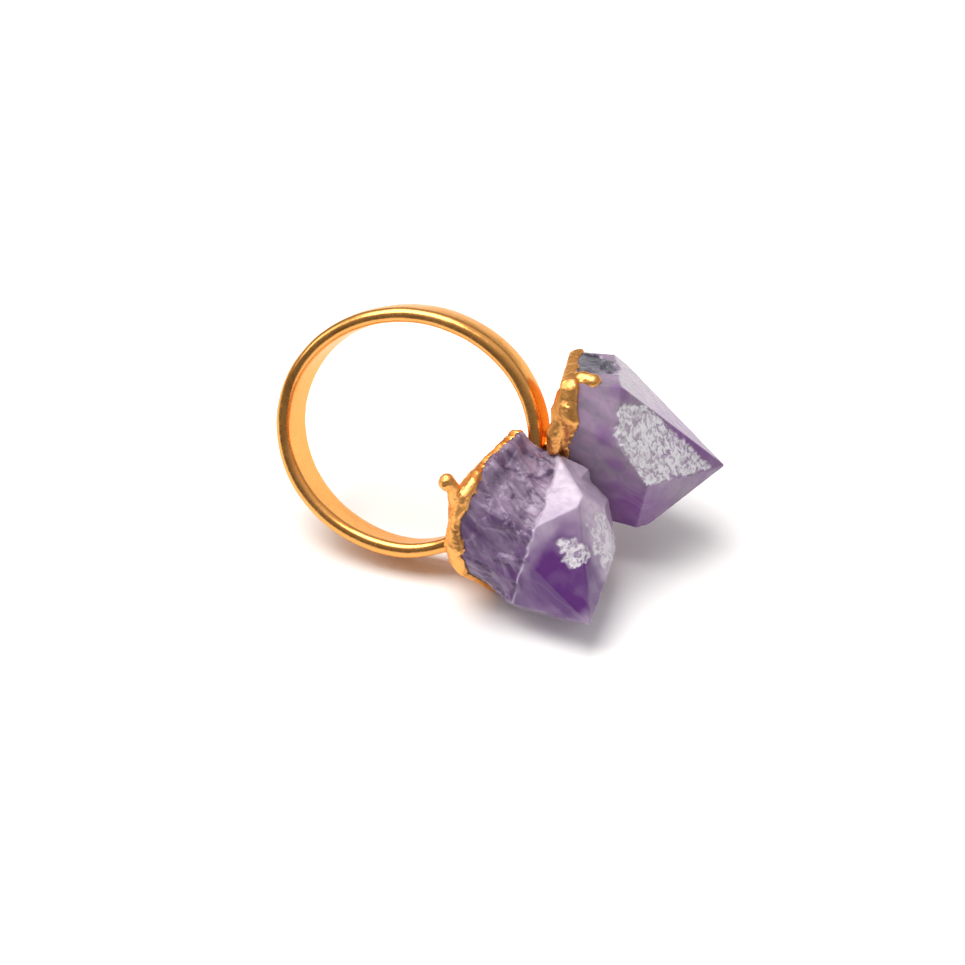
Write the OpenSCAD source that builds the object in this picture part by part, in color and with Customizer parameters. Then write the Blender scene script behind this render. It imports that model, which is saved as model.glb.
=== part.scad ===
// Open cocktail ring: a smooth gold band whose two free ends each carry a raw
// amethyst point, glued to a small pad and held in a rough gold collar.
// Everything is first placed in the ring's own plane (X across the hole, Z up the
// hole, -Y toward the front) and then leant back to the pose it rests in.

/* [Finger hole and band] */
// Radius of the two arcs of the finger hole
hole_r = 8.65; // [8:0.05:9.5]
// Distance between the centres of the two arcs
hole_spread = 1.8; // [1:0.1:2.4]
// Thickness of the band
band_t = 1.1; // [0.9:0.05:1.4]
// Width of the band along the finger
band_w = 4.4; // [3.6:0.1:5]
// Width of the band at its ends
end_w = 2.6; // [2.4:0.1:3.2]
// Radius of the band's rounded edges
edge_r = 0.35; // [0.2:0.05:0.4]
// Radius of the slight dome across the band's outer face
dome_r = 9; // [7:0.5:14]
// Angle of the band's front end, below the horizontal
front_end = 40; // [36:1:44]
// Angle of the band's rear end, below the horizontal
rear_end = 6; // [2:1:8]
// How far the rear end leads back toward its stone
rear_lead = 0.6; // [0:0.1:0.8]
// Angle at which the ring leans back as it rests
lean = 30; // [25:1:35]

/* [Pads and glue] */
// Radius of the flat pad on each end
pad_r = 2.6; // [2.2:0.1:2.8]
// Thickness of each pad
pad_t = 0.45; // [0.4:0.05:0.6]
// Thickness of the glue bed under each stone
glue_t = 0.15; // [0.1:0.05:0.2]
// Radius of each solder joint
solder_r = 1.7; // [1.5:0.1:1.9]

/* [Collars] */
// Thickness of the collars' side walls
collar_wall = 0.45; // [0.35:0.05:0.6]
// How far the front collar climbs its stone
front_climb = 0.7; // [0.5:0.1:1.2]
// How far the rear collar climbs its stone
rear_climb = 0.7; // [0.5:0.1:1.2]
// Thickness of gold behind each pad
collar_back = 0.3; // [0.25:0.05:0.4]

/* [Hidden] */

$fn = 96;
gold = "#E6A24A";
bronze = "#C98B45";
violet = "#8E6BA8";
lilac = "#9C7FB4";
resin = "#D8C9A8";

big = 60;                            // side of the cubes that stand for half-spaces
arc_shift = hole_spread / 2;
pad_back = glue_t + pad_t;           // depth of each pad's back below its stone
collar_depth = pad_back + collar_back;
glue_inset = 0.3;                    // gap between the glue bed and the edge of its stone
finger_room = 20;                    // length of the space kept for the finger
full = 20;                           // X beyond the back, where the blank is widest
narrow = hole_r + 2;                 // X where the blank is narrowest

// Angle between a quartz tip face and the crystal's long axis
tip_tilt = 38;
// Distance of the six prism faces from the long axis, from each stone's first face on
front_prism = [5.2, 4.6, 4.4, 6, 6, 5.8];
rear_prism = [7.2, 7.2, 5.6, 6.5, 6, 6.4];

// Seats: the flat plane under each stone, in the ring's own plane
module front_seat() translate([7.7, -3, -4.5]) rotate([0, 94, -17]) children();
module rear_seat() translate([11.3, 3.5, 2.6]) rotate([0, 86, 12]) children();

// Tips: each crystal's point, with its long axis as Z
module front_tip() translate([17.9, -5.3, -10.3]) rotate([0, 119, -38]) children();
module rear_tip() translate([22.9, 7.9, 1.4]) rotate([0, 85.4, 20.6]) children();

// Leans the finished ring back to its resting pose
module rest() rotate([-lean, 0, 0]) translate([arc_shift, 0, 0]) children();

// All of space behind one plane; turn runs from up (0) to the front (90), tilt toward +Z
module behind(turn, tilt, distance)
    rotate([0, 90 - tilt, 180 + turn])
        translate([-big / 2, -big / 2, distance - big]) cube(big);

// Six prism faces and six tip faces meeting in a point
module quartz(first_turn, prism, grow)
    intersection_for (i = [0:5]) {
        turn = first_turn + 60 * i;
        intersection() {
            behind(turn, 0, prism[i] + grow);
            behind(turn, tip_tilt, grow);
        }
    }

// Broken mother rock beside the front crystal, still one piece with it
module front_rock(grow) front_seat() intersection() {
    behind(36, 28, 3.5 + grow);
    behind(95, 22, 3.6 + grow);
    behind(132, 8, 4.2 + grow);
    behind(160, -6, 4.4 + grow);
    behind(349, 11, 7.1 + grow);
    behind(0, 88, 5.2 + grow);
}

// Front stone with every face moved out by grow, without its flat base
module front_stone(grow = 0) intersection() {
    union() {
        front_tip() quartz(38, front_prism, grow);
        front_rock(grow);
    }
    front_tip() behind(314, 24, 1.9 + grow);
    front_seat() intersection() {
        behind(349, 11, 7.1 + grow);
        behind(323, -8, 6.3 + grow);
        behind(305, -12, 5.8 + grow);
        behind(269, -17, 4.2 + grow);
        behind(219, -8, 6.6 + grow);
        behind(184, 0, 6.1 + grow);
    }
}

// Rear stone with every face moved out by grow, without its flat base
module rear_stone(grow = 0) intersection() {
    rear_tip() quartz(9, rear_prism, grow);
    rear_seat() intersection() {
        behind(125, -16, 3.6 + grow);
        behind(5, 0, 6.5 + grow);
        behind(84, 0, 5.8 + grow);
        behind(191, -2, 6.4 + grow);
        behind(255, 0, 5.5 + grow);
        behind(310, -4, 6 + grow);
    }
}

// Space on the stone's side of a seat, from a given height up
module above(height) translate([-big / 2, -big / 2, height]) cube(big);

// Cross-section of the band: inner face at x = hole_r, outer face domed
module band_section() intersection() {
    union() {
        translate([hole_r, -band_w / 2 + edge_r]) square([band_t, band_w - 2 * edge_r]);
        translate([hole_r + edge_r, -band_w / 2]) square([band_t - 2 * edge_r, band_w]);
        for (x = [edge_r, band_t - edge_r], y = [-1, 1])
            translate([hole_r + x, y * (band_w / 2 - edge_r)]) circle(edge_r);
    }
    translate([hole_r + band_t - dome_r, 0]) circle(dome_r);
}

// One arc of the band about a centre shifted along X
module band_arc(shift, from, to)
    translate([shift, 0, 0]) rotate([90, 0, 0]) rotate([0, 0, from])
        rotate_extrude(angle = to - from) band_section();

// A straight link of the band across the top (+1) or the bottom (-1)
module band_link(side)
    translate([arc_shift, 0, 0]) rotate([0, -90, 0])
        linear_extrude(hole_spread) rotate(side > 0 ? 0 : 180) band_section();

// The bottom half of the strip up to its front end, and the rest up to its rear end
module front_strip() {
    band_arc(-arc_shift, 180, 270);
    band_link(-1);
    band_arc(arc_shift, 270, 360 - front_end);
}
module rear_strip() {
    band_arc(arc_shift, -rear_end, 90);
    band_link(1);
    band_arc(-arc_shift, 90, 180);
}

// Outline that the strip is cut to, seen from above: it narrows toward its ends, and
// the rear end also leads back toward its stone
module blank(lead = 0) translate([0, 0, -big / 2]) linear_extrude(big)
    polygon([[-full, -band_w], [-hole_r, -band_w / 2], [narrow, lead - end_w / 2],
             [narrow, lead + end_w / 2], [-hole_r, band_w / 2], [-full, band_w]]);

module front_half() intersection() {
    front_strip();
    blank();
}
module rear_half() intersection() {
    rear_strip();
    blank(rear_lead);
}
module strip() {
    front_half();
    rear_half();
}

module shank() color(gold) rest() union() {
    difference() {
        front_half();
        front_seat() above(-pad_back);
    }
    difference() {
        rear_half();
        rear_seat() above(-pad_back);
    }
}

// Flat pad whose front face is the glue bed's back
module pad() translate([0, 0, -pad_back]) cylinder(r = pad_r, h = pad_t);

module front_pad() color(bronze) rest() front_seat() pad();
module rear_pad() color(bronze) rest() rear_seat() pad();

// Where the solder sits on each pad's back, and how deep it reaches toward the band's end
front_joint = [2, 1.6];
rear_joint = [2.2, -1.8];
front_joint_depth = 1.6;
rear_joint_depth = 2;

// Solder filling the gap between a pad's back and the band's end
module solder(joint, depth) translate([joint.x, joint.y, -pad_back - depth])
    cylinder(r = solder_r, h = depth);

module front_solder() color(bronze) rest() difference() {
    front_seat() solder(front_joint, front_joint_depth);
    strip();
    finger();
}
module rear_solder() color(bronze) rest() difference() {
    rear_seat() solder(rear_joint, rear_joint_depth);
    strip();
    finger();
    front_stone(collar_wall);
}

// Glue bed as wide as its pad, kept just inside the edge of its stone's base
module front_glue() color(resin) rest() intersection() {
    front_stone(-glue_inset);
    front_seat() translate([0, 0, -glue_t]) cylinder(r = pad_r, h = glue_t);
}
module rear_glue() color(resin) rest() intersection() {
    rear_stone(-glue_inset);
    rear_seat() translate([0, 0, -glue_t]) cylinder(r = pad_r, h = glue_t);
}

// The front stone is notched where its broken back sits against the band's rear end
module front_amethyst() color(violet) rest() difference() {
    intersection() {
        front_stone();
        front_seat() above(0);
    }
    rear_half();
}
module rear_amethyst() color(lilac) rest() intersection() {
    rear_stone();
    rear_seat() above(0);
}

// Room kept for the finger, from the front of the band out past the rear
module finger()
    translate([-arc_shift, -band_w / 2 - 0.2, 0]) rotate([-90, 0, 0])
        cylinder(r = hole_r, h = finger_room);

// Sleeve of gold between two heights over a stone grown by the wall thickness
module front_sleeve() intersection() {
    front_stone(collar_wall);
    front_seat() translate([0, 0, -collar_depth]) cylinder(r = big, h = collar_depth + front_climb);
}
module rear_sleeve() intersection() {
    rear_stone(collar_wall);
    rear_seat() translate([0, 0, -collar_depth]) cylinder(r = big, h = collar_depth + rear_climb);
}

module front_collar() color(gold) rest() difference() {
    front_sleeve();
    intersection() {
        front_stone();
        front_seat() above(0);
    }
    front_seat() translate([0, 0, -pad_back]) cylinder(r = pad_r, h = pad_back + front_climb);
    front_seat() solder(front_joint, front_joint_depth);
    strip();
    finger();
}

module rear_collar() color(gold) rest() difference() {
    rear_sleeve();
    front_stone();
    intersection() {
        rear_stone();
        rear_seat() above(0);
    }
    rear_seat() translate([0, 0, -pad_back]) cylinder(r = pad_r, h = pad_back + rear_climb);
    rear_seat() solder(rear_joint, rear_joint_depth);
    strip();
    finger();
}

// A bead of gold grown on the inner edge of the front collar
module front_nodule() color(gold) rest() difference() {
    translate([6, -7.2, -2]) sphere(r = 0.9);
    front_stone(collar_wall);
}

shank();
front_pad();
rear_pad();
front_solder();
rear_solder();
front_glue();
rear_glue();
front_amethyst();
rear_amethyst();
front_collar();
rear_collar();
front_nodule();
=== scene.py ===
import math

import bmesh
import bpy
from mathutils import Matrix, Vector, noise


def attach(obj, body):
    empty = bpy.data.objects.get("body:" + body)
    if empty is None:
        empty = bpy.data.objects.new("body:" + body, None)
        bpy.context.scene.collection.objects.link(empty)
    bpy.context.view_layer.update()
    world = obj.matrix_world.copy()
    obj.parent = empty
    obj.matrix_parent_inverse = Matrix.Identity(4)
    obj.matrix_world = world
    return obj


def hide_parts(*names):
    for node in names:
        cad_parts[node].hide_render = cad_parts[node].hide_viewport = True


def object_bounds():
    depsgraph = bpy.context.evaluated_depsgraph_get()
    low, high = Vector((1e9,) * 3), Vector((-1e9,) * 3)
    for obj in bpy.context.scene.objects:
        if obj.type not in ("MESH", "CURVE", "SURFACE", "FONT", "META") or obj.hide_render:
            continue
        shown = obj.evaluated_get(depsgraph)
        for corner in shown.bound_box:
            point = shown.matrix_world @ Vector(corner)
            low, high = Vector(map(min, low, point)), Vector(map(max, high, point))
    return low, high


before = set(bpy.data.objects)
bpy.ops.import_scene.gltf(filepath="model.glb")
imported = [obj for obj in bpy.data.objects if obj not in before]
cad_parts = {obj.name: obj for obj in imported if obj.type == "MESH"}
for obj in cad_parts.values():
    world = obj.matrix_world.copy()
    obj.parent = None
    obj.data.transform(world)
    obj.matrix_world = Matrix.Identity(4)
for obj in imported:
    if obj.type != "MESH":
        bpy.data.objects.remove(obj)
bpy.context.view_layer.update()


# ---- Table, light and camera ------------------------------------------------------------
# The ring lies on a white table under a wide soft lamp, in a bright room whose near side
# is darker, so the gold has something to reflect. None of this belongs to the ring.
MM = 0.001
CAMERA_TURN = math.radians(20.2)
CAMERA_RISE = math.radians(40)
CAMERA_DISTANCE = 330
FRAME_WIDTH = 74.2
SENSOR = 36

toward_camera = Vector((math.sin(CAMERA_TURN) * math.cos(CAMERA_RISE),
                        -math.cos(CAMERA_TURN) * math.cos(CAMERA_RISE),
                        math.sin(CAMERA_RISE)))
camera_right = Vector((math.cos(CAMERA_TURN), math.sin(CAMERA_TURN), 0))
camera_up = toward_camera.cross(camera_right)
aim = Vector((0.9, 0, 0)) + 5.35 * camera_right - 3.94 * camera_up

camera_data = bpy.data.cameras.new("camera")
camera_data.sensor_width = SENSOR
camera_data.lens = SENSOR * CAMERA_DISTANCE / FRAME_WIDTH
camera_data.clip_start = 0.01
camera_data.clip_end = 20
camera = bpy.data.objects.new("camera", camera_data)
axes = Matrix((camera_right, camera_up, toward_camera)).transposed().to_4x4()
camera.matrix_world = Matrix.Translation((aim + CAMERA_DISTANCE * toward_camera) * MM) @ axes
bpy.context.scene.collection.objects.link(camera)
bpy.context.scene.camera = camera
bpy.context.scene.view_settings.view_transform = "Standard"


def new_node(tree, kind, settings=None, **inputs):
    """Adds one shader node; inputs are constants or other nodes' outputs."""
    made = tree.nodes.new(kind)
    for name, value in (settings or {}).items():
        setattr(made, name, value)
    for name, value in inputs.items():
        socket = made.inputs[int(name[1:])] if name[0] == "_" else made.inputs[name.replace("_", " ")]
        if isinstance(value, bpy.types.NodeSocket):
            tree.links.new(value, socket)
        else:
            socket.default_value = value
    return made


def soft_lamp(name, place, size, watts, colour):
    """A square lamp, place and size in metres, aimed at the ring."""
    lamp = bpy.data.lights.new(name, "AREA")
    lamp.size = size
    lamp.energy = watts
    lamp.color = colour
    holder = bpy.data.objects.new(name, lamp)
    holder.matrix_world = (Matrix.Translation(place)
                           @ Vector(place).to_track_quat("Z", "Y").to_matrix().to_4x4())
    bpy.context.scene.collection.objects.link(holder)


soft_lamp("top_lamp", (-0.17, -0.03, 0.6), 0.5, 4.6, (1, 0.985, 0.96))
soft_lamp("side_lamp", (-0.5, -0.12, 0.3), 0.25, 0.5, (1, 0.97, 0.93))

world = bpy.data.worlds.new("bright_room")
bpy.context.scene.world = world
world.use_nodes = True
room = world.node_tree
room.nodes.clear()
direction = new_node(room, "ShaderNodeTexCoord").outputs["Generated"]
split = new_node(room, "ShaderNodeSeparateXYZ", Vector=direction)
height = new_node(room, "ShaderNodeMapRange", {"interpolation_type": "SMOOTHSTEP"},
                  Value=split.outputs["Z"], From_Min=0.1, From_Max=0.9, To_Min=0.3, To_Max=0.8)
near_side = new_node(room, "ShaderNodeMapRange", {"interpolation_type": "SMOOTHSTEP"},
                     Value=split.outputs["Y"], From_Min=-0.9, From_Max=0.3, To_Min=0.45, To_Max=1.0)
strength = new_node(room, "ShaderNodeMath", {"operation": "MULTIPLY"},
                    _0=height.outputs[0], _1=near_side.outputs[0])
glow = new_node(room, "ShaderNodeBackground", Color=(1, 0.98, 0.97, 1), Strength=strength.outputs[0])
new_node(room, "ShaderNodeOutputWorld", Surface=glow.outputs[0])


# ---- Shank ------------------------------------------------------------------------------
# The shank is one strip of brass with a softly domed outer face, bent round a mandrel into
# an open ring that narrows to its ends, then polished and plated with gold.
LEAN = math.radians(30)
ARC_SHIFT = 0.9
HOLE_R = 8.53
BAND_T = 1.2
BACK_W = 4.4
END_W = 2.6
DOME = 0.1
EDGE_ROUND = 0.46         # share of the thickness rounded off at each edge
FRONT_END = math.radians(43)
REAR_END = math.radians(5)
REAR_LEAD = 0.6           # how far the rear end swings back toward its stone
FRONT_LIFT = 0.45         # how far the front end rises into its collar
BAND_STEPS = 150
HAND_WORK = 0.035         # unevenness left by the hammer and the polishing wheel

# From the ring's own plane in millimetres to the pose it rests in, in metres
to_rest = (Matrix.Scale(MM, 4) @ Matrix.Rotation(-LEAN, 4, "X")
           @ Matrix.Translation((ARC_SHIFT, 0, 0)))


def finished(name, bm, node_names):
    """Turns a bmesh in the ring's own plane into a named piece that replaces CAD nodes."""
    bm.transform(to_rest)
    mesh = bpy.data.meshes.new(name)
    bm.to_mesh(mesh)
    bm.free()
    mesh.shade_smooth()
    piece = bpy.data.objects.new(name, mesh)
    bpy.context.scene.collection.objects.link(piece)
    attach(piece, "root")
    if node_names:
        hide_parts(*node_names)
    return piece


def smoothstep(low, high, value):
    """0 below low, 1 above high, smooth between."""
    t = min(max((value - low) / (high - low), 0), 1)
    return t * t * (3 - 2 * t)


def band_width(x):
    """Full width of the band at a place along X."""
    along = (x + HOLE_R) / (2 * HOLE_R + 2)
    return BACK_W + (END_W - BACK_W) * min(max(along, 0), 1)


def band_mesh(front_end, rear_end, grow=0.0):
    """The bent strip from its front end, round the back, to its rear end."""
    bm = bmesh.new()
    half = BACK_W / 2
    corners = [bm.verts.new((HOLE_R + x, y, 0)) for x, y in
               ((0, -half), (BAND_T, -half), (BAND_T, half), (0, half))]
    bm.faces.new(corners)
    bmesh.ops.bevel(bm, geom=corners, offset=EDGE_ROUND * BAND_T, segments=8, profile=0.5,
                    affect="VERTICES", clamp_overlap=True, material=-1)
    bmesh.ops.delete(bm, geom=bm.faces[:], context="FACES_ONLY")
    long_edges = [e for e in bm.edges if e.calc_length() > half]
    bmesh.ops.subdivide_edges(bm, edges=long_edges, cuts=9)
    for v in bm.verts:
        across = v.co.y / half
        outer = (v.co.x - HOLE_R) / BAND_T
        v.co.x -= DOME * across ** 2 * outer
        v.co.x += (outer - 0.5) * 2 * grow
        v.co.y *= 1 + grow / half
    bmesh.ops.rotate(bm, verts=bm.verts, cent=(0, 0, 0), matrix=Matrix.Rotation(front_end, 3, "Y"))
    bmesh.ops.spin(bm, geom=bm.verts[:] + bm.edges[:], cent=(0, 0, 0), axis=(0, 1, 0),
                   dvec=(0, 0, 0), angle=2 * math.pi - front_end + rear_end, steps=BAND_STEPS,
                   use_merge=False, use_normal_flip=False, use_duplicate=False)
    bmesh.ops.holes_fill(bm, edges=[e for e in bm.edges if e.is_boundary], sides=0)
    for v in bm.verts:
        v.co.x += ARC_SHIFT * v.co.x / math.hypot(v.co.x, v.co.z)
        v.co.y *= band_width(v.co.x) / BACK_W
        if v.co.z < -4:
            v.co.z += FRONT_LIFT * smoothstep(1, 6.5, v.co.x)
        if v.co.z > -2:
            v.co.y += REAR_LEAD * smoothstep(-4, 11, v.co.x) * smoothstep(-2, 1, v.co.z)
    bmesh.ops.recalc_face_normals(bm, faces=bm.faces)
    return bm


bm = band_mesh(FRONT_END, REAR_END)
for v in bm.verts:
    wave = noise.noise(v.co * 0.35) + 0.4 * noise.noise(v.co * 1.1)
    v.co += v.normal * HAND_WORK * wave
shank = finished("shank_band", bm, ["shank"])

# A group that wears and mottles plated gold: it gives a tint factor, a roughness and a height
plate = bpy.data.node_groups.new("plated_metal", "ShaderNodeTree")
for name, kind, way in (("Vector", "NodeSocketVector", "INPUT"), ("Grain", "NodeSocketFloat", "INPUT"),
                        ("Smooth", "NodeSocketFloat", "INPUT"), ("Rough", "NodeSocketFloat", "INPUT"),
                        ("Tint", "NodeSocketFloat", "OUTPUT"), ("Roughness", "NodeSocketFloat", "OUTPUT"),
                        ("Height", "NodeSocketFloat", "OUTPUT")):
    plate.interface.new_socket(name, in_out=way, socket_type=kind)
given = new_node(plate, "NodeGroupInput").outputs
clouds = new_node(plate, "ShaderNodeTexNoise", Vector=given["Vector"], Scale=0.45, Detail=4.0)
grain = new_node(plate, "ShaderNodeTexNoise", Vector=given["Vector"], Scale=given["Grain"], Detail=3.0)
half_grain = new_node(plate, "ShaderNodeMath", {"operation": "MULTIPLY"},
                      _0=grain.outputs["Fac"], _1=0.5)
mixed = new_node(plate, "ShaderNodeMath", {"operation": "MULTIPLY_ADD"},
                 _0=clouds.outputs["Fac"], _1=0.5, _2=half_grain.outputs[0])
rough = new_node(plate, "ShaderNodeMapRange", Value=mixed.outputs[0], From_Min=0.35, From_Max=0.65,
                 To_Min=given["Smooth"], To_Max=given["Rough"])
given_out = new_node(plate, "NodeGroupOutput")
plate.links.new(clouds.outputs["Fac"], given_out.inputs["Tint"])
plate.links.new(rough.outputs[0], given_out.inputs["Roughness"])
plate.links.new(grain.outputs["Fac"], given_out.inputs["Height"])


def new_material(name):
    """An empty material with object coordinates in millimetres."""
    made = bpy.data.materials.new(name)
    made.use_nodes = True
    tree = made.node_tree
    tree.nodes.clear()
    place = new_node(tree, "ShaderNodeTexCoord").outputs["Object"]
    scaled = new_node(tree, "ShaderNodeMapping", Vector=place, Scale=(1 / MM,) * 3)
    return made, tree, scaled.outputs[0]


def gold(name, pale, deep, grain_scale, smooth, rough_end, bump):
    """Plated gold whose colour drifts between two tones."""
    made, tree, place = new_material(name)
    worn = new_node(tree, "ShaderNodeGroup", {"node_tree": plate}, Vector=place, Grain=grain_scale,
                    Smooth=smooth, Rough=rough_end)
    tone = new_node(tree, "ShaderNodeMix", {"data_type": "RGBA"}, _0=worn.outputs["Tint"],
                    _6=deep, _7=pale)
    relief = new_node(tree, "ShaderNodeBump", Height=worn.outputs["Height"], Strength=bump, Distance=0.00005)
    metal = new_node(tree, "ShaderNodeBsdfPrincipled", Base_Color=tone.outputs[2], Metallic=1.0,
                     Roughness=worn.outputs["Roughness"], Normal=relief.outputs[0],
                     Specular_Tint=(1, 0.82, 0.6, 1))
    new_node(tree, "ShaderNodeOutputMaterial", Surface=metal.outputs[0])
    return made


shank.data.materials.append(gold("polished_gold", (0.92, 0.46, 0.14, 1), (0.79, 0.33, 0.08, 1),
                                 3.0, 0.18, 0.3, 0.12))


# ---- Pads, solder and glue --------------------------------------------------------------
# Each end of the shank carries a sawn brass disc, soldered on, and the stone's flat base is
# bedded on it in clear epoxy. The collars hide nearly all of this once they have grown.
for node_name, pale, deep in (("front_pad", (0.70, 0.47, 0.20, 1), (0.55, 0.34, 0.13, 1)),
                              ("rear_pad", (0.70, 0.47, 0.20, 1), (0.55, 0.34, 0.13, 1)),
                              ("front_solder", (0.86, 0.48, 0.16, 1), (0.70, 0.34, 0.10, 1)),
                              ("rear_solder", (0.86, 0.48, 0.16, 1), (0.70, 0.34, 0.10, 1))):
    hidden_metal = gold(node_name + "_metal", pale, deep, 4.0, 0.3, 0.5, 0.3)
    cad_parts[node_name].data.materials.clear()
    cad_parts[node_name].data.materials.append(hidden_metal)

for node_name in ("front_glue", "rear_glue"):
    resin, tree, place = new_material(node_name + "_resin")
    bubbles = new_node(tree, "ShaderNodeTexNoise", Vector=place, Scale=2.5, Detail=3.0)
    tone = new_node(tree, "ShaderNodeMix", {"data_type": "RGBA"}, _0=bubbles.outputs["Fac"],
                    _6=(0.52, 0.44, 0.30, 1), _7=(0.70, 0.63, 0.48, 1))
    body = new_node(tree, "ShaderNodeBsdfPrincipled", Base_Color=tone.outputs[2], Roughness=0.2,
                    Transmission_Weight=0.4, IOR=1.5)
    new_node(tree, "ShaderNodeOutputMaterial", Surface=body.outputs[0])
    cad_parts[node_name].data.materials.clear()
    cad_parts[node_name].data.materials.append(resin)


# ---- Amethysts --------------------------------------------------------------------------
# Two points broken from a geode: natural prism and tip faces in clear to violet quartz, and
# rough conchoidal breaks where the mother rock came away. They are only glued, never cut.
VOXEL = 0.11              # size of the even quads that the stones are rebuilt from
ROCK_RAISED = 0.24        # how far the highest splinters stand over the plain break
FACE_WAVE = 0.012         # unevenness of the natural faces

front_seat = (Matrix.Translation((7.7, -3, -4.5)) @ Matrix.Rotation(math.radians(-17), 4, "Z")
              @ Matrix.Rotation(math.radians(94), 4, "Y"))
rear_seat = (Matrix.Translation((11.3, 3.5, 2.6)) @ Matrix.Rotation(math.radians(12), 4, "Z")
             @ Matrix.Rotation(math.radians(86), 4, "Y"))


def remeshed(bm, voxel):
    """Rebuilds a closed bmesh as even small quads with slightly rounded edges."""
    mesh = bpy.data.meshes.new("rough_out")
    bm.to_mesh(mesh)
    bm.free()
    block = bpy.data.objects.new("rough_out", mesh)
    bpy.context.scene.collection.objects.link(block)
    skin = block.modifiers.new("skin", "REMESH")
    skin.mode = "VOXEL"
    skin.voxel_size = voxel
    bpy.context.view_layer.update()
    solid = block.evaluated_get(bpy.context.evaluated_depsgraph_get()).to_mesh()
    result = bmesh.new()
    result.from_mesh(solid)
    bpy.data.objects.remove(block)
    bpy.data.meshes.remove(mesh)
    return result


def node_copy(node_name):
    """A merged copy of a CAD node, back in the ring's own plane in millimetres."""
    bm = bmesh.new()
    bm.from_mesh(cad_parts[node_name].data)
    bm.transform(to_rest.inverted())
    bmesh.ops.remove_doubles(bm, verts=bm.verts, dist=1e-3)
    return bm


# Direction, in the ring's own plane, along which the rough rock is splintered
GRAIN = Vector((0.77, 0.09, -0.63))


def splinters(place, size, seed):
    """Depth from 0 to 1 of a break made of small leaning facets, drawn out along the grain."""
    drawn = place - 0.55 * place.dot(GRAIN) * GRAIN
    spot = drawn / size + Vector((seed, seed * 2, 0))
    centre = noise.voronoi(spot, distance_metric="DISTANCE")[1][0]
    lean = noise.cell_vector(centre * 31.7 + Vector((0.5, 0.5, 0.5))) * 2 - Vector((1, 1, 1))
    return min(max(0.5 + 0.75 * (spot - centre).dot(lean), 0), 1)


def blob(place, spots):
    """Strongest of several soft round zones, each a centre, a radius and a strength."""
    best = 0
    for centre, radius, strength in spots:
        reach = (place - Vector(centre)).length / radius + 0.3 * noise.noise(place * 0.8)
        best = max(best, strength * (1 - smoothstep(0.25, 1.1, reach)))
    return best


def within(outline, u, v):
    """Distance inside a convex clockwise outline, negative outside."""
    room = 100
    for (u0, v0), (u1, v1) in zip(outline, outline[1:] + outline[:1]):
        run = math.hypot(u1 - u0, v1 - v0)
        room = min(room, ((v1 - v0) * (u - u0) - (u1 - u0) * (v - v0)) / run)
    return room


def grown_stone(node_name, seat, rock_at, frost_at, violet_and_shade_spots, swell_spots):
    """The stone, its mesh before breaking, and masks for rough rock, frost and deep violet colour, which
    also carries painted shade.
    """
    bm = remeshed(node_copy(node_name), VOXEL)
    for _ in range(2):
        bmesh.ops.smooth_vert(bm, verts=bm.verts, factor=0.5, use_axis_x=True, use_axis_y=True,
                              use_axis_z=True)
    bm.normal_update()
    to_seat = seat.inverted()
    for v in bm.verts:
        v.co += v.normal * blob(v.co, swell_spots)
    bm.normal_update()
    whole = bm.copy()
    rock = bm.verts.layers.float.new("rock")
    frost = bm.verts.layers.float.new("frost")
    # The glow layer holds deep violet colour, and in the rear crystal's widest spot painted shade; nothing
    # in it glows.
    glow = bm.verts.layers.float.new("glow")
    moves = []
    for v in bm.verts:
        broken = rock_at(v.co)
        etched = frost_at(v.co, v.normal)
        v[rock] = broken
        v[frost] = etched * (1 - broken)
        v[glow] = blob(v.co, violet_and_shade_spots)
        free = smoothstep(0.2, 1.6, (to_seat @ v.co).z)
        coarse = splinters(v.co, 2.1, 3.1)
        middle = splinters(v.co, 1.0, 7.7)
        fine = splinters(v.co, 0.42, 11.3)
        cut = broken * free * (0.5 * coarse + 0.26 * middle + 0.12 * fine - ROCK_RAISED)
        cut += (1 - broken) * FACE_WAVE * (1 + noise.noise(v.co * 1.1) + 0.6 * noise.noise(v.co * 3))
        cut += v[frost] * (0.10 * middle + 0.08 * fine)
        moves.append(v.normal * cut)
    for v, move in zip(bm.verts, moves):
        v.co -= move
    bmesh.ops.smooth_vert(bm, verts=[v for v in bm.verts if v[rock] > 0.3], factor=0.25,
                          use_axis_x=True, use_axis_y=True, use_axis_z=True)
    return bm, whole


def front_rock_at(place):
    """Rough rock from the seat up to a ridge; clear crystal beyond it."""
    ridge = 12.4 - 0.02 * (place.z + 3.4) ** 2 + 0.25 * noise.noise(place * 1.2)
    return 1 - smoothstep(-0.17, 0.17, place.x - ridge)


def front_frost_at(place, normal):
    """A chipped patch on the big face and the splintered corner beside it."""
    spots = [((15.6, -4.85, -5.25), 1.45, 1), ((17.0, -1.7, -4.4), 2.3, 1)]
    wander = Vector([noise.noise(place * 1.3 + Vector((0, 0, shift))) for shift in (0, 19, 37)])
    return smoothstep(0.15, 0.4, blob(place + 0.8 * wander, spots))


def rear_rock_at(place):
    """Only a dark broken patch high on the inner side."""
    reach = (place - Vector((11.9, 3.0, 8.2))).length / 2.7 + 0.2 * noise.noise(place)
    return 1 - smoothstep(0.85, 1.0, reach)


# The etched face of the rear crystal, and its outline in that face's own plane
ETCHED_WAY = Vector((0.81, -0.48, 0.33))
ETCHED_RIGHT = Vector((0.51, 0.86, 0))
ETCHED_UP = Vector((-0.28, 0.17, 0.94))
ETCHED = [(7.2, 0.8), (10.2, 0.9), (17.0, -3.9), (14.5, -4.5), (9.8, -5.3), (8.6, -4.4), (7.1, -1.9)]


def rear_frost_at(place, normal):
    """The whole of one tip face, etched to a mottled white with a ragged edge."""
    if normal.dot(ETCHED_WAY) < 0.3:
        return 0
    wander = 0.22 * noise.noise(place * 2.1) + 0.1 * noise.noise(place * 5)
    return smoothstep(-0.06, 0.1, within(ETCHED, place.dot(ETCHED_RIGHT), place.dot(ETCHED_UP)) + wander)


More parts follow.
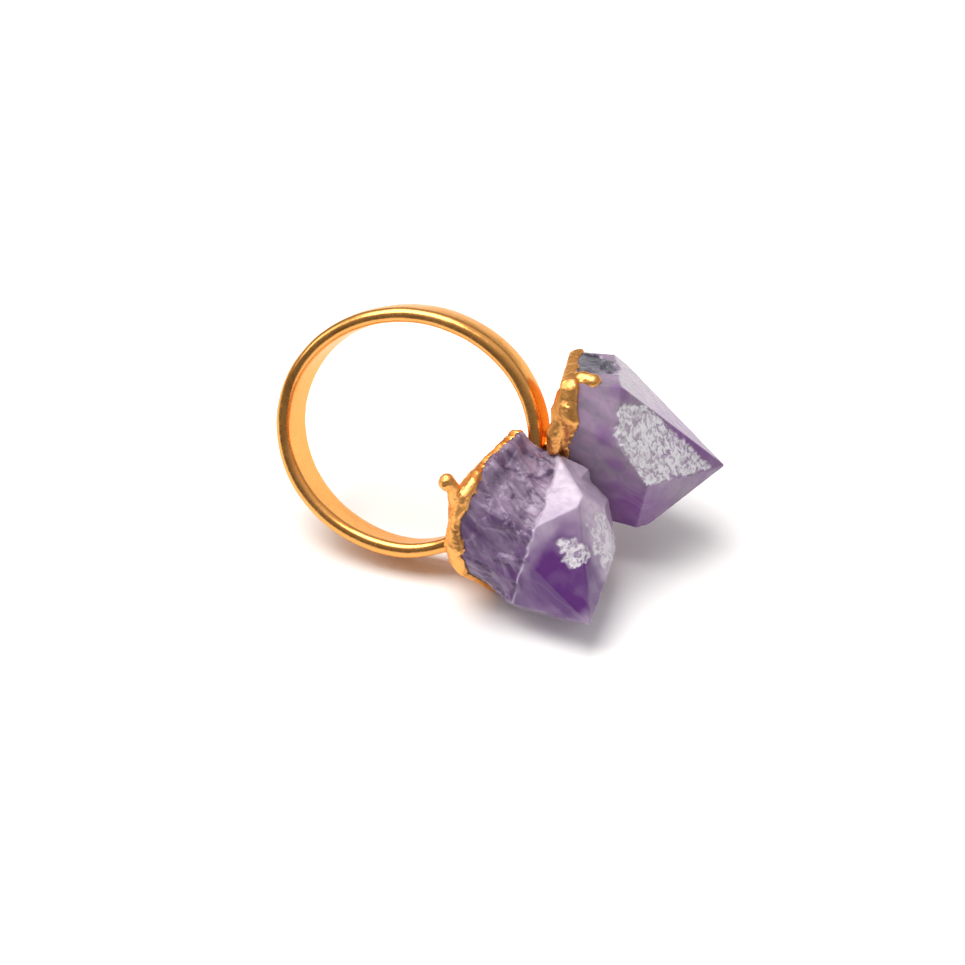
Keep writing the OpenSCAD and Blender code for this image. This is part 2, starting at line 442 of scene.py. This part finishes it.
front_mesh, front_whole = grown_stone(
    "front_amethyst", front_seat, front_rock_at, front_frost_at,
    [((15.0, -5.2, -7.4), 5.6, 1.0), ((12.4, -5.6, -9.0), 4.2, 0.9), ((9.4, -6.2, -6.8), 5.0, 0.5),
     ((14.6, -4.6, -4.6), 3.6, 0.5)],
    [((7.9, -2.5, 1.8), 2.6, 0.45), ((7.3, -4.1, 0.5), 2.4, 0.5), ((7.0, -5.6, -0.8), 2.2, 0.45)])
# Painted shade: the rear crystal's last and widest violet spot darkens its outer end, where the stone would
# otherwise catch a bright grazing reflection of the table.
rear_mesh, rear_whole = grown_stone(
    "rear_amethyst", rear_seat, rear_rock_at, rear_frost_at,
    [((18.0, 2.2, -3.0), 5.0, 0.85), ((15.4, -1.6, 3.2), 1.2, 0.6), ((16.2, -0.3, 1.1), 1.1, 0.65),
     ((15.8, -0.4, 6.8), 1.2, 0.5), ((20.5, 5.5, 4.2), 6.0, 0.75)], [])
front_stone = finished("front_crystal", front_mesh, ["front_amethyst"])
rear_stone = finished("rear_crystal", rear_mesh, ["rear_amethyst"])


def amethyst(name, clear, violet, rock_dark, rock_pale, veil_tone, frosted, ridge_highlight):
    """Quartz in four states: clear faces, violet depths, rough rock and a white etched skin, with a painted
    highlight along the rock's edge and painted shade in part of the violet.
    """
    made, tree, place = new_material(name)
    masks = {m: new_node(tree, "ShaderNodeAttribute", {"attribute_name": m}).outputs["Fac"]
             for m in ("rock", "frost", "glow")}
    along = new_node(tree, "ShaderNodeMapping", {"vector_type": "TEXTURE"},
                     Vector=new_node(tree, "ShaderNodeTexCoord").outputs["Object"],
                     Rotation=(0, math.radians(37), math.radians(-17)),
                     Scale=(2.6 * MM, 0.8 * MM, 0.8 * MM))
    cloud = new_node(tree, "ShaderNodeTexNoise", Vector=place, Scale=0.4, Detail=5.0, Distortion=0.8)
    drift = new_node(tree, "ShaderNodeMath", {"operation": "MULTIPLY_ADD"},
                     _0=cloud.outputs["Fac"], _1=0.5, _2=-0.25)
    # The violet zones add a random drift to the glow layer, so they carry its painted shade too.
    violet_and_shade_zones = new_node(tree, "ShaderNodeMath", {"operation": "ADD", "use_clamp": True},
                     _0=masks["glow"], _1=drift.outputs[0])
    haze = new_node(tree, "ShaderNodeTexNoise", Vector=place, Scale=0.75, Detail=5.0, Distortion=1.0)
    hazy = new_node(tree, "ShaderNodeMapRange", Value=haze.outputs["Fac"], From_Min=0.38, From_Max=0.64,
                    To_Min=0.0, To_Max=0.5)
    misty = new_node(tree, "ShaderNodeMix", {"data_type": "RGBA"}, _0=hazy.outputs[0], _6=clear,
                     _7=rock_pale)
    body = new_node(tree, "ShaderNodeMix", {"data_type": "RGBA"}, _0=violet_and_shade_zones.outputs[0],
                    _6=misty.outputs[2], _7=violet)
    streak = new_node(tree, "ShaderNodeTexNoise", Vector=along.outputs[0], Scale=0.8, Detail=4.0,
                      Distortion=0.5)
    crack = new_node(tree, "ShaderNodeTexNoise", Vector=along.outputs[0], Scale=0.45, Detail=3.0,
                     Distortion=0.9)
    off_line = new_node(tree, "ShaderNodeMath", {"operation": "SUBTRACT"}, _0=crack.outputs["Fac"], _1=0.5)
    near_line = new_node(tree, "ShaderNodeMath", {"operation": "ABSOLUTE"}, _0=off_line.outputs[0])
    thin = new_node(tree, "ShaderNodeMapRange", {"interpolation_type": "SMOOTHSTEP"},
                    Value=near_line.outputs[0], From_Min=0.0, From_Max=0.07, To_Min=0.3, To_Max=0.0)
    patchy = new_node(tree, "ShaderNodeMapRange", Value=cloud.outputs["Fac"], From_Min=0.4, From_Max=0.6)
    vein = new_node(tree, "ShaderNodeMath", {"operation": "MULTIPLY"}, _0=thin.outputs[0],
                    _1=patchy.outputs[0])
    band = new_node(tree, "ShaderNodeMapRange", Value=streak.outputs["Fac"], From_Min=0.35,
                    From_Max=0.68, To_Min=0.0, To_Max=1.0)
    rock = new_node(tree, "ShaderNodeMix", {"data_type": "RGBA"}, _0=band.outputs[0],
                    _6=rock_dark, _7=rock_pale)
    rock_violet_and_shade = new_node(tree, "ShaderNodeMath", {"operation": "MULTIPLY"}, _0=violet_and_shade_zones.outputs[0], _1=0.8)
    tinted = new_node(tree, "ShaderNodeMix", {"data_type": "RGBA"}, _0=rock_violet_and_shade.outputs[0],
                      _6=rock.outputs[2], _7=violet)
    veined = new_node(tree, "ShaderNodeMix", {"data_type": "RGBA"}, _0=vein.outputs[0],
                      _6=tinted.outputs[2], _7=veil_tone)
    wisp = new_node(tree, "ShaderNodeMath", {"operation": "MULTIPLY"}, _0=vein.outputs[0], _1=0.3)
    wisped = new_node(tree, "ShaderNodeMix", {"data_type": "RGBA"}, _0=wisp.outputs[0],
                      _6=body.outputs[2], _7=veil_tone)
    # Painted highlight: a pale line, mixed toward the frost white, along the edge where rough rock meets
    # clear faces.
    ridge = new_node(tree, "ShaderNodeMath", {"operation": "PINGPONG"}, _0=masks["rock"], _1=0.5)
    ridge_highlight_mix = new_node(tree, "ShaderNodeMath", {"operation": "MULTIPLY"}, _0=ridge.outputs[0],
                          _1=ridge_highlight)
    with_rock = new_node(tree, "ShaderNodeMix", {"data_type": "RGBA"}, _0=masks["rock"],
                         _6=wisped.outputs[2], _7=veined.outputs[2])
    with_ridge_highlight = new_node(tree, "ShaderNodeMix", {"data_type": "RGBA"}, _0=ridge_highlight_mix.outputs[0],
                      _6=with_rock.outputs[2], _7=frosted)
    pits = new_node(tree, "ShaderNodeTexNoise", Vector=place, Scale=2.3, Detail=7.0, Distortion=0.9)
    pitted = new_node(tree, "ShaderNodeMapRange", Value=pits.outputs["Fac"], From_Min=0.38, From_Max=0.56,
                      To_Min=0.15, To_Max=1.0)
    etched = new_node(tree, "ShaderNodeMath", {"operation": "MULTIPLY"}, _0=pitted.outputs[0],
                      _1=masks["frost"])
    with_frost = new_node(tree, "ShaderNodeMix", {"data_type": "RGBA"}, _0=etched.outputs[0],
                          _6=with_ridge_highlight.outputs[2], _7=frosted)
    dull = new_node(tree, "ShaderNodeMath", {"operation": "MAXIMUM"}, _0=masks["rock"], _1=masks["frost"])
    roughness = new_node(tree, "ShaderNodeMapRange", Value=dull.outputs[0], To_Min=0.13, To_Max=0.3)
    fine = new_node(tree, "ShaderNodeTexNoise", Vector=along.outputs[0], Scale=2.4, Detail=6.0)
    strength = new_node(tree, "ShaderNodeMapRange", Value=dull.outputs[0], To_Min=0.1, To_Max=0.8)
    relief = new_node(tree, "ShaderNodeBump", Height=fine.outputs["Fac"], Strength=strength.outputs[0],
                      Distance=0.00015)
    stone = new_node(tree, "ShaderNodeBsdfPrincipled", Base_Color=with_frost.outputs[2],
                     Roughness=roughness.outputs[0], Normal=relief.outputs[0],
                     Transmission_Weight=0.25, IOR=1.5)
    new_node(tree, "ShaderNodeOutputMaterial", Surface=stone.outputs[0])
    return made


front_stone.data.materials.append(amethyst(
    "deep_amethyst", (0.70, 0.58, 0.73, 1), (0.12, 0.025, 0.20, 1), (0.13, 0.075, 0.16, 1),
    (0.43, 0.32, 0.47, 1), (0.66, 0.56, 0.72, 1), (0.92, 0.88, 0.95, 1), 0.9))
rear_stone.data.materials.append(amethyst(
    "pale_amethyst", (0.40, 0.28, 0.42, 1), (0.23, 0.07, 0.31, 1), (0.05, 0.04, 0.07, 1),
    (0.18, 0.18, 0.22, 1), (0.60, 0.56, 0.64, 1), (0.92, 0.91, 0.95, 1), 0.2))


# ---- Collars ----------------------------------------------------------------------------
# Round each stone's base and over the band's end a collar of copper was grown in the plating
# bath and then gilded: a lumpy skin with a torn edge, beads, pits and a fillet to the band.
COLLAR_VOXEL = 0.1
COLLAR_DEPTH = 0.8        # how far its flat back lies behind the stone's base
WALL = 0.42
COVER = 0.22              # skin over the pad and the solder behind the collar
TAPER = 0.1               # how far the skin thins out past its torn edge
LUMPS = 0.08
CRUST = 0.14              # extra height of the small glittering growths
PITS = 0.06
BEAD_STEP = 0.3           # distance between the beads that melt into one roll

# Height of each collar's torn edge over its seat, by direction round the seat in degrees
FRONT_EDGE = [(-180, -0.3), (-162, -0.3), (-150, 0.2), (-138, 0.6), (-126, 0.8), (-101, 0.65),
              (-93, 0.4), (-79, 0.5), (-57, 1.05), (-49, 0.8), (-35, 1.0), (-11, 0.8), (20, 1.0),
              (80, 0.7), (140, 0.6), (180, -0.3)]
REAR_EDGE = [(-180, 0.1), (-166, 0.25), (-142, 0.4), (-126, 0.7), (-116, 0.8), (-101, 1.0), (-88, 0.6),
             (-70, 0.35), (-30, 0.8), (40, 0.6), (110, 0.9), (180, 0.1)]


def torn_edge(profile, local, seed):
    """Height of the torn edge beside a point given in the seat's frame."""
    turn = math.degrees(math.atan2(local.y, local.x))
    for (t0, h0), (t1, h1) in zip(profile, profile[1:]):
        if t0 <= turn <= t1:
            height = h0 + (h1 - h0) * (turn - t0) / (t1 - t0)
    return height + 0.16 * noise.noise(local * 1.7 + Vector((seed, 0, 0))) + 0.07 * noise.noise(local * 5)


def collar_mesh(stone, seat, profile, glitter_at, band_part, buried, beads, seed):
    """A closed skin over the stone's base, the pad and the solder, joined to the band's end."""
    to_seat = seat.inverted()
    bm = stone
    reach = {}
    for v in bm.verts:
        local = to_seat @ v.co
        reach[v] = torn_edge(profile, local, seed) - local.z
    bare = [face for face in bm.faces if max(reach[v] for v in face.verts) < -TAPER]
    bmesh.ops.delete(bm, geom=bare, context="FACES")
    bm.normal_update()
    drawn = bmesh.ops.extrude_face_region(bm, geom=bm.faces[:], use_keep_orig=True)["geom"]
    outer = [g for g in drawn if isinstance(g, bmesh.types.BMVert)]
    bm.normal_update()
    steps = []
    for v in outer:
        local = to_seat @ v.co
        over = torn_edge(profile, local, seed) - local.z
        swell = WALL * smoothstep(-TAPER, 0.35, over) - 0.03
        lumps = LUMPS * noise.noise(v.co * 1.3 + Vector((seed, seed, 0))) * smoothstep(0, 0.4, over)
        lumps += CRUST * glitter_at(v.co) * noise.noise(v.co * 3.1) * smoothstep(0, 0.3, over)
        if (to_seat.to_3x3() @ v.normal).z < -0.5:
            steps.append(seat.to_3x3() @ Vector((0, 0, -COLLAR_DEPTH - local.z)))
        else:
            steps.append(v.normal * (swell + lumps))
    for v, step in zip(outer, steps):
        v.co += step
    moved = set(outer)
    bmesh.ops.reverse_faces(bm, faces=[f for f in bm.faces if not any(v in moved for v in f.verts)])
    for centre, radius in beads:
        bead = bmesh.ops.create_icosphere(bm, subdivisions=3, radius=radius)["verts"]
        for v in bead:
            v.co *= 1 + 0.1 * noise.noise(v.co * 1.6 + centre)
        bmesh.ops.translate(bm, verts=bead, vec=centre)
    parts = [band_part]
    for node_name in buried:
        cover = node_copy(node_name)
        cover.normal_update()
        for v in cover.verts:
            v.co += v.normal * COVER
        parts.append(cover)
    for part in parts:
        joined = bpy.data.meshes.new("joined")
        part.to_mesh(joined)
        bm.from_mesh(joined)
        bpy.data.meshes.remove(joined)
        part.free()
    bm = remeshed(bm, COLLAR_VOXEL)
    for _ in range(6):
        bmesh.ops.smooth_vert(bm, verts=bm.verts, factor=0.5, use_axis_x=True, use_axis_y=True,
                              use_axis_z=True)
    bm.normal_update()
    for v in bm.verts:
        pits = noise.fractal(v.co * 2.4, 0.8, 2.0, 3)
        v.co -= v.normal * PITS * abs(pits)
    return bm


def roll(path):
    """Beads close enough along a path of (centre, radius) to melt into one smooth roll."""
    line = []
    for (start, wide), (end, narrow) in zip(path, path[1:]):
        count = max(1, round((Vector(end) - Vector(start)).length / BEAD_STEP))
        for i in range(count):
            t = i / count
            line.append((Vector(start).lerp(Vector(end), t), wide + (narrow - wide) * t))
    return line


def band_stub(keep_low, keep_high, grow):
    """The last stretch of the band near one end, a little fattened, closed at both ends."""
    bm = band_mesh(FRONT_END, REAR_END, grow)
    bmesh.ops.delete(bm, geom=[v for v in bm.verts if v.co.x < 4.2 or not keep_low < v.co.z < keep_high],
                     context="VERTS")
    bmesh.ops.holes_fill(bm, edges=[e for e in bm.edges if e.is_boundary], sides=0)
    bmesh.ops.recalc_face_normals(bm, faces=bm.faces)
    return bm


front_roll = roll([((5.2, -1.2, -7.5), 0.62), ((5.6, -2.6, -6.6), 0.75), ((6.0, -4.0, -5.4), 0.78),
                   ((6.1, -5.2, -4.2), 0.72), ((6.1, -6.2, -3.1), 0.62), ((6.0, -7.0, -2.1), 0.5),
                   ((5.5, -7.3, -1.75), 0.68), ((5.42, -7.3, -1.72), 0.7)])
front_foot = roll([((5.6, -1.0, -7.9), 0.75), ((6.3, -2.6, -7.6), 0.85), ((6.7, -4.4, -7.2), 0.8),
                   ((6.9, -5.4, -6.9), 0.7)])
front_collar = finished(
    "front_collar_skin",
    collar_mesh(front_whole, front_seat, FRONT_EDGE, lambda place: smoothstep(-2.2, -1.2, place.z),
                band_stub(-9.5, -3, 0.05), ["front_pad", "front_solder"], front_roll + front_foot, 2.0),
    ["front_collar", "front_nodule"])
rear_roll = roll([((11.5, -0.9, 1.4), 0.6), ((11.5, -1.3, 2.6), 0.72), ((11.7, -1.5, 3.4), 0.55),
                  ((11.5, -1.4, 4.4), 0.62), ((11.7, -1.3, 5.6), 0.68), ((12.2, -0.7, 6.6), 0.65),
                  ((12.7, -0.7, 6.95), 0.72), ((13.8, -0.7, 7.0), 0.66)])
rear_collar = finished(
    "rear_collar_skin",
    collar_mesh(rear_whole, rear_seat, REAR_EDGE, lambda place: 0.6, band_stub(-2, 0.4, 0.08),
                ["rear_pad", "rear_solder"], rear_roll, 5.0),
    ["rear_collar"])
for skin in (front_collar, rear_collar):
    skin.data.materials.append(gold(skin.name + "_gold", (0.94, 0.48, 0.16, 1), (0.84, 0.36, 0.085, 1),
                                    5.0, 0.26, 0.44, 0.6))


# ---- Floor ------------------------------------------------------------------------------
# A white table top at the height of whatever part of the ring reaches lowest; its far parts are painted
# darker.
low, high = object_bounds()
bm = bmesh.new()
bmesh.ops.create_grid(bm, x_segments=1, y_segments=1, size=3)
bmesh.ops.translate(bm, verts=bm.verts, vec=(0, 0, low[2]))
floor_mesh = bpy.data.meshes.new("table_top")
bm.to_mesh(floor_mesh)
bm.free()
floor = bpy.data.objects.new("table_top", floor_mesh)
bpy.context.scene.collection.objects.link(floor)
table, tree, place = new_material("white_table_with_painted_shade")
# Painted shade: the table's colour darkens from 85 mm out from the middle, standing in for lamp light
# falling off across a dim room, so the gold reflects a dim horizon.
from_middle = new_node(tree, "ShaderNodeVectorMath", {"operation": "LENGTH"}, Vector=place)
tone = new_node(tree, "ShaderNodeMapRange", {"interpolation_type": "SMOOTHSTEP"},
                Value=from_middle.outputs["Value"], From_Min=85, From_Max=180, To_Min=0.93, To_Max=0.4)
paint = new_node(tree, "ShaderNodeBsdfPrincipled", Base_Color=tone.outputs[0], Roughness=0.6,
                 Specular_IOR_Level=0.2)
new_node(tree, "ShaderNodeOutputMaterial", Surface=paint.outputs[0])
floor.data.materials.append(table)
